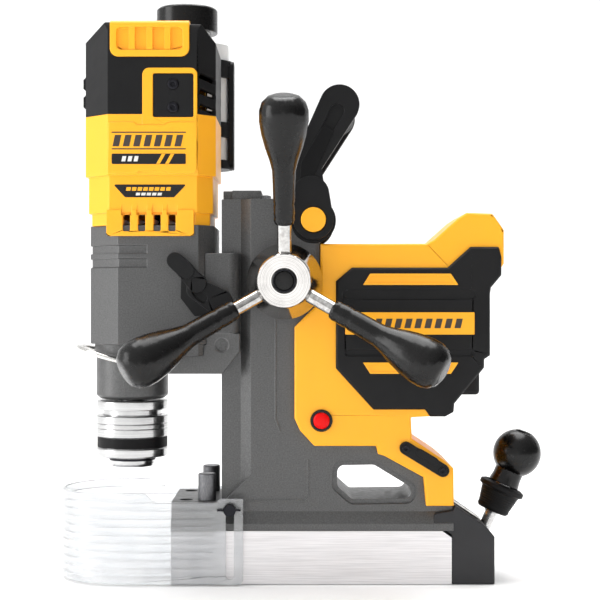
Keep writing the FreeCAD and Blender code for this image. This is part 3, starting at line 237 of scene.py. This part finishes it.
def make_finishes(colours):
    """Every surface of the machine, with its real material and how it was made."""
    yellow, shade, casting = (as_hex(c) for c in (colours.yellow, colours.yellow_shade, colours.casting))
    FINISHES.update({
        # The last colour given to each moulded and coated finish is its paler edge tone: partly wear, partly
        # painted highlight.
        # Moulded ABS: satin, so its highlights are wide and soft.
        "yellow": moulded("moulded_abs_yellow", yellow, shade, "#FFD24A", 0.36, 1.0, 0.008),
        # Glass-filled nylon: dry and nearly black, its grain breaks up every highlight.
        "black": moulded("glass_filled_nylon_black", "#0E0E0F", "#131314", "#2E2E30", 0.46, 0.9, 0.014,
                         shine=0.22),
        "charcoal": moulded("glass_filled_nylon_charcoal", "#252527", "#2B2B2D", "#414143", 0.48, 0.9, 0.014),
        # Pressed phenolic: hard and polished, with narrow bright highlights on near-black.
        "phenolic": moulded("pressed_phenolic_black", "#040404", "#080707", "#141312", 0.26, 2.5, 0.004,
                            coat=0.08, shine=0.25),
        # Thermoplastic rubber: the dullest black, it only shows soft edges.
        "rubber": moulded("moulded_rubber_black", "#060607", "#0B0B0C", "#202022", 0.55, 0.8, 0.02, 0, 0.18),
        # Polycarbonate button cap: saturated red, wet-looking from its clear skin.
        "red": moulded("moulded_polycarbonate_red", "#D80204", "#EA0808", "#F82A22", 0.3, 3.0, 0.003,
                       coat=0.06, shine=0.15),
        # Printed polyester film: flat black with a slight sheen, smooth beside the grained mouldings.
        "film": moulded("printed_polyester_film", "#121316", "#17181B", "#24252A", 0.3, 0.7, 0.002),
        # Screen-printed ink: flat and dull, as thin as its screen.
        "ink": moulded("printed_dark_ink", "#3B3430", "#453C36", "#574D45", 0.4, 0.6, 0.003),
        "chalk": moulded("printed_white_ink", "#D9D9D6", "#E6E6E2", "#F2F2F0", 0.4, 0.6, 0.003),
        # Solder-masked glass epoxy: green with a slightly rippled gloss.
        "board": moulded("solder_masked_board", "#0E4A22", "#14572B", "#2C7A48", 0.3, 0.8, 0.008),
        # Heat-shrunk sleeve: tight, glossy and a little wavy.
        "wrap": moulded("heat_shrunk_sleeve", "#1B3F7A", "#23508F", "#3A6BB0", 0.28, 4.0, 0.02),
        # Powder-coated cast aluminium: mid grey orange peel, paler at edges, partly where the coat thins over
        # an edge and partly as a painted highlight.
        "casting": coated("powder_coated_cast_aluminium", casting, "#606060", "#858585", 0.42),
        # Turned and buffed steel: near-mirror with rings that smear what it reflects.
        "mirror": turned("buffed_turned_steel", "#CFCDCB", "#A29F9C", 0.12, ACROSS, HUB),
        "rod": brushed("buffed_drawn_steel", "#C9C8C6", "#9C9A98", 0.1, (1, 1, 1), 3.0, 0.004),
        # Turned steel left from the lathe: bright, with rings that widen its highlights sideways.
        "chuck": turned("fine_turned_steel", "#CDCDCD", "#9E9E9E", 0.2, UP, CHUCK),
        "shaft": brushed("turned_round_bar", "#D6D6D6", "#A8A8A8", 0.24, (1, 1, 1), 1.0),
        "wire": brushed("drawn_stainless_wire", "#E6E5E2", "#BBB9B6", 0.16, (1, 1, 1), 1.5),
        # Belt-ground stainless sheet: pale, even, with fine lines along its length.
        "ground": brushed("belt_ground_stainless", "#EAE8E9", "#D4D2D3", 0.42, (0.02, 1, 1), 0.6, 0.003),
        "machined": brushed("milled_steel", "#A2A2A4", "#747476", 0.34, (1, 1, 0.1)),
        # Phosphated steel: dull mid grey, a thin crystal coat over the machining.
        "phosphate": brushed("phosphated_steel", "#808082", "#606062", 0.42, (1, 1, 0.2)),
        # Black-oxide screws: blue-black, with an oily satin.
        "oxide": brushed("black_oxide_steel", "#303034", "#1D1D20", 0.38, (1, 1, 1)),
        "magnet": brushed("ground_magnet_alloy", "#6B6B70", "#505055", 0.4, (1, 0.05, 1)),
        # Stacked laminations: thin dark lines between sheets, along the motor's axis.
        "stack": brushed("stacked_laminations", "#77726C", "#2E2B29", 0.45, (0.02, 0.02, 1), 0.8, 0.02),
        "bronze": turned("turned_bronze", "#B98A4A", "#8E6631", 0.3, ACROSS, HUB),
        # Injection-moulded polycarbonate: clear but frosted, pale against a white room.
        "guard": clear("moulded_clear_polycarbonate", "#FAFBFC", "#F0F2F4", 0.2, 0.85, 1.58),
        # Blow-moulded polyethylene: milky, it glows rather than shines.
        "bottle": clear("blow_moulded_polyethylene", "#FAFAF9", "#F0F1F0", 0.42, 0.15, 1.52),
    })


# Each finish, the radius in mm that its edges are broken to, and the CAD nodes that have it.
CAD_FINISHES = (
    ("yellow", 0.5, ["motor_housing_near", "motor_housing_far", "top_insert", "rear_housing_near",
                     "rear_housing_far", "handle_lock_button", "battery_release", "panel_inlays"]),
    ("black", 0.5, ["top_cover", "side_panel_near", "side_panel_far", "handle_arms", "handle_grip",
                    "bottle_cage", "lock_lever", "battery_case"]),
    ("black", 0.3, ["switch_plates", "strap_bars", "handle_pivot", "battery_terminals"]),
    ("charcoal", 0.8, ["end_cap"]),
    ("phenolic", 0.5, ["feed_grips", "ball_knob", "bottle_cap"]),
    ("phenolic", 0.3, ["hub_cap", "button_bezel"]),
    ("rubber", 0.25, ["lock_sleeve"]),
    ("red", 0.3, ["power_button"]),
    ("casting", 0.8, ["carriage_bracket", "gear_housing", "slide_bar"]),
    ("casting", 0, ["column_casting"]),
    ("mirror", 0.3, ["feed_hub"]),
    ("rod", 0.3, ["spoke_rods", "gate_plate"]),
    ("chuck", 0.25, ["chuck_body", "release_collar"]),
    ("shaft", 0.25, ["lever_shaft"]),
    ("wire", 0.2, ["wire_bail"]),
    ("ground", 0.4, ["magnet_housing"]),
    ("phosphate", 0.4, ["stop_posts"]),
    ("oxide", 0.2, ["base_screws", "housing_screws"]),
    ("oxide", 0.4, ["wing_screw_near", "wing_screw_far"]),
    ("guard", 0.4, ["chip_guard"]),
    ("bottle", 0.4, ["bottle"]),
    # Hidden inside, so their edges stay as they are.
    ("machined", 0, ["feed_shaft", "feed_rack", "intermediate_gear", "spindle", "lay_pin"]),
    ("chuck", 0, ["head_bearings"]),
    ("board", 0, ["control_board"]),
    ("wrap", 0, ["battery_cells"]),
    ("magnet", 0, ["fixed_magnets", "shifting_magnets"]),
    ("stack", 0, ["rotor", "stator"]),
    ("bronze", 0, ["feed_bushings"]),
)


def wear(thing, finish):
    """Give an object one finish."""
    if not thing.material_slots:
        thing.data.materials.append(FINISHES[finish])
    for slot in thing.material_slots:
        slot.material = FINISHES[finish]


def as_hex(colour):
    """A colour property, which holds sRGB values, as a hex colour."""
    return "#" + "".join(f"{round(c * 255):02X}" for c in colour)


# ---------------------------------------------------------------- shapes
def mesh_from(name, points, faces):
    data = bpy.data.meshes.new(name)
    data.from_pydata(points, [], faces)
    data.update()
    thing = bpy.data.objects.new(name, data)
    bpy.context.collection.objects.link(thing)
    return thing


def applied(thing):
    """The object with its modifiers made permanent."""
    graph = bpy.context.evaluated_depsgraph_get()
    data = bpy.data.meshes.new_from_object(thing.evaluated_get(graph))
    thing.modifiers.clear()
    old, thing.data = thing.data, data
    bpy.data.meshes.remove(old)
    return thing


def smooth(thing):
    """Smooth shading that keeps flat faces flat."""
    for face in thing.data.polygons:
        face.use_smooth = True
    thing.data.set_sharp_from_angle(angle=math.radians(50))
    thing.modifiers.new("flat faces stay flat", "WEIGHTED_NORMAL").keep_sharp = True
    return applied(thing)


SHARP = 35  # degrees: a sharper fold than this is an edge
WELD_MM = 0.03
SPIKE = 0.6  # share of the bevel's width that a vertex may move


def rounded(thing, width_mm, merged=False):
    """Every sharp edge broken to a small radius, as a mould, a casting or a file leaves it."""
    before = bmesh.new()
    before.from_mesh(thing.data)
    bmesh.ops.remove_doubles(before, verts=before.verts, dist=WELD_MM * MM)
    if merged:  # small flat pieces of one face become one, so that the shading runs over them
        bmesh.ops.dissolve_limit(before, angle_limit=math.radians(1), verts=before.verts, edges=before.edges)
    skin = BVHTree.FromBMesh(before)
    before.to_mesh(thing.data)
    before.free()
    bevel = thing.modifiers.new("edge", "BEVEL")
    bevel.width, bevel.segments = width_mm * MM, 2
    bevel.limit_method, bevel.angle_limit = "ANGLE", math.radians(SHARP)
    bevel.use_clamp_overlap = False
    applied(thing)
    for vertex in thing.data.vertices:  # a bevel wider than a short edge throws a spike: pull it back
        nearest, _, _, away = skin.find_nearest(vertex.co)
        if away > SPIKE * width_mm * MM:
            vertex.co = nearest
    return smooth(thing)


MERGED = ("feed_grips", "feed_hub", "hub_cap", "handle_lock_button", "handle_arms", "handle_grip", "bottle",
          "ball_knob", "bottle_cap", "chuck_body", "release_collar", "lever_shaft")


def stand_in(node, finish, width_mm):
    """A copy of a CAD node with its edges broken, which is shown in the node's place."""
    thing = bpy.data.objects.new(node + "_finished", NODES[node].data.copy())
    bpy.context.collection.objects.link(thing)
    thing.data.materials.clear()
    rounded(thing, width_mm, node in MERGED)
    wear(thing, finish)
    place(thing, NODES[node]["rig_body"], SLOT_OF[node], node)


def place(thing, body, slot, *nodes):
    """Fix a piece to its body and hide the CAD nodes that it stands for; the slot is not used."""
    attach(thing, body)
    if nodes:
        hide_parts(*nodes)


SLOT_OF = {part["node"]: part["material_slot"] for part in frame["record"]["subparts"]}


# ---------------------------------------------------------------- trim
NAME_FACE, WALL_FACE = 46.0, 42.8  # the motor housing's name panel and lower wall, from the middle plane
FILM, PRINT = 0.2, 0.3             # how far a film and the print on it stand out
BURIED = 0.3                       # how far both reach into the wall
SWITCH_SCREW_X = -114.8


def slab(outline, low, high):
    """An X-Z outline carried from Y low to Y high, in mm."""
    count = len(outline)
    points = [(x, y, z) for y in (low, high) for x, z in outline]
    ends = [tuple(range(count)), tuple(range(2 * count - 1, count - 1, -1))]
    return points, between(count, 0, count) + ends


def softened(outline, radius, steps=4):
    """The outline with its corners rounded."""
    soft = []
    for k, corner in enumerate(outline):
        corner = Vector(corner)
        before = Vector(outline[k - 1]) - corner
        after = Vector(outline[(k + 1) % len(outline)]) - corner
        reach = min(radius / math.tan(before.angle(after) / 2), 0.49 * before.length, 0.49 * after.length)
        start, end = corner + before.normalized() * reach, corner + after.normalized() * reach
        for step in range(steps + 1):
            t = step / steps
            soft.append(tuple(start * (1 - t) ** 2 + corner * 2 * t * (1 - t) + end * t ** 2))
    return soft


def between(count, here, there):
    """The faces between two closed loops of as many points, which start at these numbers."""
    return [(here + k, here + (k + 1) % count, there + (k + 1) % count, there + k) for k in range(count)]


def bar(x, z, radius=0.5):
    return softened([(x[0], z[0]), (x[1], z[0]), (x[1], z[1]), (x[0], z[1])], radius)


def slanted(x, z, width, lean):
    """A leaning bar whose lower left corner is at x."""
    return [(x, z[0]), (x + width, z[0]), (x + width + lean, z[1]), (x + lean, z[1])]


def ring(profile, centre, axis, steps=72):
    """A closed outline of (radius, along) points carried round an axis through the centre, in mm."""
    along = Vector(axis)
    first = along.orthogonal().normalized()
    second, count, points = along.cross(first), len(profile), []
    for k in range(steps):
        out = first * math.cos(math.tau * k / steps) + second * math.sin(math.tau * k / steps)
        points += [tuple(Vector(centre) + out * radius + along * reach) for radius, reach in profile]
    faces = []
    for k in range(steps):
        here, there = k * count, (k + 1) % steps * count
        faces += between(count, here, there)
    return points, faces


def trim(name, finish, node, solids, width_mm=0.0):
    """One piece made of solids in mm, which rides with a CAD node."""
    points, faces = [], []
    for its_points, its_faces in solids:
        start = len(points)
        points += [tuple(c * MM for c in point) for point in its_points]
        faces += [tuple(start + k for k in face) for face in its_faces]
    thing = mesh_from(name, points, faces)
    shape = bmesh.new()
    shape.from_mesh(thing.data)
    bmesh.ops.recalc_face_normals(shape, faces=shape.faces)
    shape.to_mesh(thing.data)
    shape.free()
    if width_mm:
        rounded(thing, width_mm)
    else:
        smooth(thing)
    wear(thing, finish)
    place(thing, NODES[node]["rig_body"], SLOT_OF[node])


def on_both_sides(outlines, surface, thickness=FILM):
    """Films of these outlines on the near and far side of a wall whose faces are at Y +-surface."""
    return [slab(outline, side * (surface - BURIED), side * (surface + thickness))
            for side in (NEAR, FAR) for outline in outlines]


def row(count, start, pitch, z, width, lean):
    """Leaning bars side by side."""
    return [slanted(start + k * pitch, z, width, lean) for k in range(count)]


def build_motor_trim(sizes):
    """Printed films and bars on the motor housing, and the screws of the switch plates."""
    left, right = sizes.print_left, sizes.print_right
    letters = row(7, left + 0.6, 7.4, (315.4, 323.6), 4.6, 1.8)
    rules = [bar((left, right), z, 0.2) for z in ((313.2, 314), (325.1, 325.9))]
    pale = row(3, left + 7, 4.4, (304.6, 308.4), 2.8, 0.8)
    label = softened([(-158, 288.3), (-149.6, 279.1), (-114.4, 279.1), (-105.6, 288.3)], 0.8)
    for name, finish, outlines, face, thickness in (
            ("name_bars", "ink", letters + rules, NAME_FACE, FILM),
            ("rating_stripe", "film", [bar((left, right), (302.7, 310.2), 1)], NAME_FACE, FILM),
            ("stripe_marks_white", "chalk", pale, NAME_FACE, PRINT),
            ("stripe_marks_yellow", "yellow", row(2, left + 32, 6.4, (302.9, 310), 2.6, 4), NAME_FACE, PRINT),
            ("motor_label", "film", [label], WALL_FACE, FILM),
            ("label_marks_yellow", "yellow", row(8, -149, 4.1, (283.8, 286.4), 3.2, 0.5), WALL_FACE, PRINT),
            ("label_marks_white", "chalk", row(5, -142, 3.9, (280.4, 282.4), 3, 0.4), WALL_FACE, PRINT)):
        trim(name, finish, "motor_housing_near", on_both_sides(outlines, face, thickness))
    head = [(1.5, -1.2), (1.5, 0.4), (2.2, 0.9), (3.4, 0.9), (4.2, 0.2), (4.2, -1.2)]
    socket_floor = [(0.01, -0.9), (0.01, -0.5), (1.6, -0.5), (1.6, -0.9)]
    heads = []
    low, high = (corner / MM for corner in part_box("switch_plates"))
    for side, face in ((NEAR, low.y), (FAR, high.y)):
        for z in (343.5, 360.3):
            heads.append(ring(head, (SWITCH_SCREW_X, face, z), (0, side, 0), 36))
            heads.append(ring(socket_floor, (SWITCH_SCREW_X, face, z), (0, side, 0), 6))
    trim("switch_plate_screws", "oxide", "switch_plates", heads)


def build_chuck_trim():
    """The dark grip band of the collar and the seal round the nose."""
    axis = (CHUCK.x, CHUCK.y, 0)
    band = [(25.6, 95.7), (26.1, 95.9), (26.1, 103.3), (25.6, 103.5)]
    trim("collar_band", "rubber", "release_collar", [ring(band, axis, (0, 0, 1), 96)])
    seal = [(16.6, 85.8), (17.3, 86), (17.3, 87.6), (16.6, 87.8)]
    trim("nose_seal", "oxide", "chuck_body", [ring(seal, axis, (0, 0, 1), 96)])


def build_handle_trim():
    """A ring on the feed hub's cap, and pads on the carry handle's arms."""
    front = min(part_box(node)[0].y for node in ("feed_hub", "hub_cap")) / MM
    lip = [(7.0, -0.5), (7.0, 0.5), (7.9, 0.5), (7.9, -0.5)]
    trim("hub_cap_ring", "oxide", "hub_cap", [ring(lip, (HUB.x, front, HUB.z), (0, NEAR, 0))])
    pad = softened([(-24, 291), (-17, 284), (-11, 300), (1, 327), (-7, 331), (-23, 304)], 3)
    pads = [slab(pad, side * 45, side * 47.2) for side in (NEAR, FAR)]
    trim("handle_arm_pads", "rubber", "handle_arms", pads, 0.5)


def hoop(outer, inner, low, high):
    """A frame between two X-Z outlines of as many points, from Y low to Y high, in mm."""
    count = len(outer)
    rings = ((outer, low), (inner, low), (inner, high), (outer, high))
    points = [(x, y, z) for outline, y in rings for x, z in outline]
    faces = []
    for lap in range(4):
        here, there = lap * count, (lap + 1) % 4 * count
        faces += between(count, here, there)
    return points, faces


def build_panel_trim():
    """Raised rims and printed bars on the inlays of the side panels, and the lip behind the column."""
    face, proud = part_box("panel_inlays")[1].y / MM, 0.6
    rims = []
    upper = ([(21.4, 216.1), (89.8, 216.1), (84.4, 224.1), (26.6, 224.1)],
             [(24.6, 217.5), (86.6, 217.5), (83.3, 222.7), (27.7, 222.7)])
    # The lower inlay is the upper one turned over, about halfway between them.
    lower = [[(x, 376.4 - z) for x, z in loop] for loop in upper]
    for side in (NEAR, FAR):
        for loops in (upper, lower):
            outer, inner = (softened(loop, 0.6) for loop in loops)
            rims.append(hoop(outer, inner, side * (face - proud), side * (face + proud)))
    trim("inlay_rims", "yellow", "panel_inlays", rims)
    trim("inlay_marks", "ink", "panel_inlays", on_both_sides(row(11, 15, 7.2, (185, 191.8), 4.4, 1.6), face))
    trim("column_lip", "casting", "column_casting",
         [slab([(-15, 226), (-9.2, 226), (-9.2, 251), (-11, 253), (-15, 253)], -34, 34)], 0.6)


class DrillPressTrim(bpy.types.PropertyGroup):
    """Where the printing on the motor housing starts and ends, in mm along X"""
    print_left: FloatProperty(name="Print left", default=-158.9)
    print_right: FloatProperty(name="Print right", default=-105.7)


class DRILL_OT_motor_trim(bpy.types.Operator):
    """Print the films of the motor housing and add the screws of the switch plates"""
    bl_idname = "drill_press.motor_trim"
    bl_label = "Motor trim"

    def execute(self, context):
        build_motor_trim(context.scene.drill_press_trim)
        return {"FINISHED"}


class DRILL_OT_chuck_trim(bpy.types.Operator):
    """Add the dark band of the chuck's collar and its seal"""
    bl_idname = "drill_press.chuck_trim"
    bl_label = "Chuck trim"

    def execute(self, context):
        build_chuck_trim()
        return {"FINISHED"}


class DRILL_OT_panel_trim(bpy.types.Operator):
    """Add the rims and printing of the side panels and the column's lip"""
    bl_idname = "drill_press.panel_trim"
    bl_label = "Panel trim"

    def execute(self, context):
        build_panel_trim()
        return {"FINISHED"}


class DRILL_OT_handle_trim(bpy.types.Operator):
    """Add the hub cap's ring and the pads of the carry handle"""
    bl_idname = "drill_press.handle_trim"
    bl_label = "Handle trim"

    def execute(self, context):
        build_handle_trim()
        return {"FINISHED"}


# ---------------------------------------------------------------- studio
def lamp(name, kind, energy, size, place, target):
    data = bpy.data.lights.new(name, kind)
    data.energy = energy
    if kind == "AREA":
        data.shape = "RECTANGLE"
        data.size, data.size_y = size
    thing = bpy.data.objects.new(name, data)
    thing.location = place
    thing.rotation_euler = (Vector(target) - Vector(place)).to_track_quat("-Z", "Y").to_euler()
    bpy.context.collection.objects.link(thing)
    return thing


def build_studio(studio):
    """A white sweep, soft lamps and the camera square to the machine's near side."""
    low, high = CAD_BOX
    centre = (Vector(low) + Vector(high)) / 2
    half, rise, bend, steps = 3.0, 2.4, 0.9, 16
    profile = [(-half, 0.0)]
    for k in range(steps + 1):
        turn = math.pi / 2 * k / steps
        profile.append((studio.wall_distance - bend + bend * math.sin(turn), bend - bend * math.cos(turn)))
    profile.append((studio.wall_distance, rise))
    sweep = mesh_from("studio_sweep", [(x, y, z - 0.0004) for y, z in profile for x in (-half, half)],
                      [(2 * k, 2 * k + 1, 2 * k + 3, 2 * k + 2) for k in range(len(profile) - 1)])
    for face in sweep.data.polygons:
        face.use_smooth = True
    paper = Surface("seamless_paper")
    base = paper.tones(paper.pattern(60), "#FCFCFC", "#F8F8F8")
    sweep.data.materials.append(paper.finish([(paper.pattern(2), 0.01)], Base_Color=base, Roughness=0.8))

    world = bpy.context.scene.world or bpy.data.worlds.new("studio")
    bpy.context.scene.world = world
    world.use_nodes = True
    world.node_tree.nodes.clear()
    # A room that is brightest at the upper left front and falls off to the lower right.
    toward = add(world.node_tree, "ShaderNodeTexCoord", out="Generated")
    facing = add(world.node_tree, "ShaderNodeVectorMath", {0: toward, 1: (-0.75, -0.25, 0.6)},
                 "Value", operation="DOT_PRODUCT")
    strength = add(world.node_tree, "ShaderNodeMapRange",
                   {"Value": facing, "From Min": -0.6, "From Max": 0.9, "To Min": studio.room_dark,
                    "To Max": studio.room_bright})
    background = add(world.node_tree, "ShaderNodeBackground",
                     {"Color": linear("#FFFFFF"), "Strength": strength})
    add(world.node_tree, "ShaderNodeOutputWorld", {"Surface": background})
    lamp("left_softbox", "AREA", studio.key, (0.8, 1.7), (-1.7, -0.5, 0.55), centre)
    # A small card by the lens, for flat polished faces that are square to the camera to reflect.
    lamp("lens_card", "AREA", studio.card, (0.26, 0.26), (-0.05, -1.6, 0.24), (HUB * MM))
    overhead = lamp("overhead", "SUN", studio.overhead, None, (0.0, 0.4, 2.0), centre)
    overhead.data.angle = math.radians(50)

    eye = bpy.data.cameras.new("camera")
    eye.lens, eye.sensor_width = 84.0, 36.0
    camera = bpy.data.objects.new("camera", eye)
    camera.location = (-23.8 * MM, -1050 * MM, 205.2 * MM)
    camera.rotation_euler = (math.pi / 2, 0, 0)
    bpy.context.collection.objects.link(camera)
    bpy.context.scene.camera = camera
    bpy.context.scene.view_settings.view_transform = "Standard"


# ---------------------------------------------------------------- add-on
class DrillPressColours(bpy.types.PropertyGroup):
    yellow: FloatVectorProperty(name="Yellow", description="Colour of the moulded yellow shells",
                                default=(1.0, 0.69, 0.14), min=0, max=1, subtype="COLOR_GAMMA")
    yellow_shade: FloatVectorProperty(name="Yellow drift", description="Second tone of the yellow plastic",
                                      default=(1.0, 0.70, 0.13), min=0, max=1, subtype="COLOR_GAMMA")
    casting: FloatVectorProperty(name="Casting", description="Colour of the powder coat",
                                 default=(0.31, 0.31, 0.31), min=0, max=1, subtype="COLOR_GAMMA")


class DrillPressStudio(bpy.types.PropertyGroup):
    key: FloatProperty(name="Key", default=19.0, unit="POWER",
                       description="Power of the tall softbox at the left")
    card: FloatProperty(name="Lens card", default=0.3, unit="POWER",
                        description="Power of the small card by the lens")
    overhead: FloatProperty(name="Overhead", default=3.2,
                            description="Strength of the wide lamp over the floor")
    room_bright: FloatProperty(name="Room, bright side", default=1.05,
                               description="Strength at the upper left")
    room_dark: FloatProperty(name="Room, dark side", default=0.2,
                             description="Strength at the lower right")
    wall_distance: FloatProperty(name="Wall", default=1.8, unit="LENGTH",
                                 description="Distance of the sweep's upright behind the machine")


class DRILL_OT_finishes(bpy.types.Operator):
    """Make every surface, and dress the CAD nodes with broken edges in theirs"""
    bl_idname = "drill_press.finishes"
    bl_label = "Finishes"

    def execute(self, context):
        make_finishes(context.scene.drill_press_colours)
        for finish, edge_mm, nodes in CAD_FINISHES:
            for node in nodes:
                if edge_mm:
                    stand_in(node, finish, edge_mm)
                else:
                    wear(NODES[node], finish)
        return {"FINISHED"}


class DRILL_OT_studio(bpy.types.Operator):
    """Build the white sweep, the soft lamps and the camera"""
    bl_idname = "drill_press.studio"
    bl_label = "Studio"

    def execute(self, context):
        build_studio(context.scene.drill_press_studio)
        return {"FINISHED"}


GROUPS = (("drill_press_colours", DrillPressColours), ("drill_press_trim", DrillPressTrim),
          ("drill_press_studio", DrillPressStudio))
STEPS = (DRILL_OT_finishes, DRILL_OT_motor_trim, DRILL_OT_chuck_trim, DRILL_OT_panel_trim,
         DRILL_OT_handle_trim, DRILL_OT_studio)


class DRILL_PT_panel(bpy.types.Panel):
    """The machine's sizes, colours and steps"""
    bl_label = "Drill press"
    bl_idname = "DRILL_PT_panel"
    bl_space_type = "VIEW_3D"
    bl_region_type = "UI"
    bl_category = "Drill press"

    def draw(self, context):
        for name, group in GROUPS:
            box = self.layout.box()
            for key in group.__annotations__:
                box.prop(getattr(context.scene, name), key)
        for step in STEPS:
            self.layout.operator(step.bl_idname)


def register():
    for name, group in GROUPS:
        bpy.utils.register_class(group)
        setattr(bpy.types.Scene, name, PointerProperty(type=group))
    for made in (*STEPS, DRILL_PT_panel):
        bpy.utils.register_class(made)


def unregister():
    for made in (DRILL_PT_panel, *reversed(STEPS)):
        bpy.utils.unregister_class(made)
    for name, group in reversed(GROUPS):
        delattr(bpy.types.Scene, name)
        bpy.utils.unregister_class(group)


def main():
    register()
    for step in STEPS:
        area, name = step.bl_idname.split(".")
        getattr(getattr(bpy.ops, area), name)()


if __name__ == "__main__":
    main()
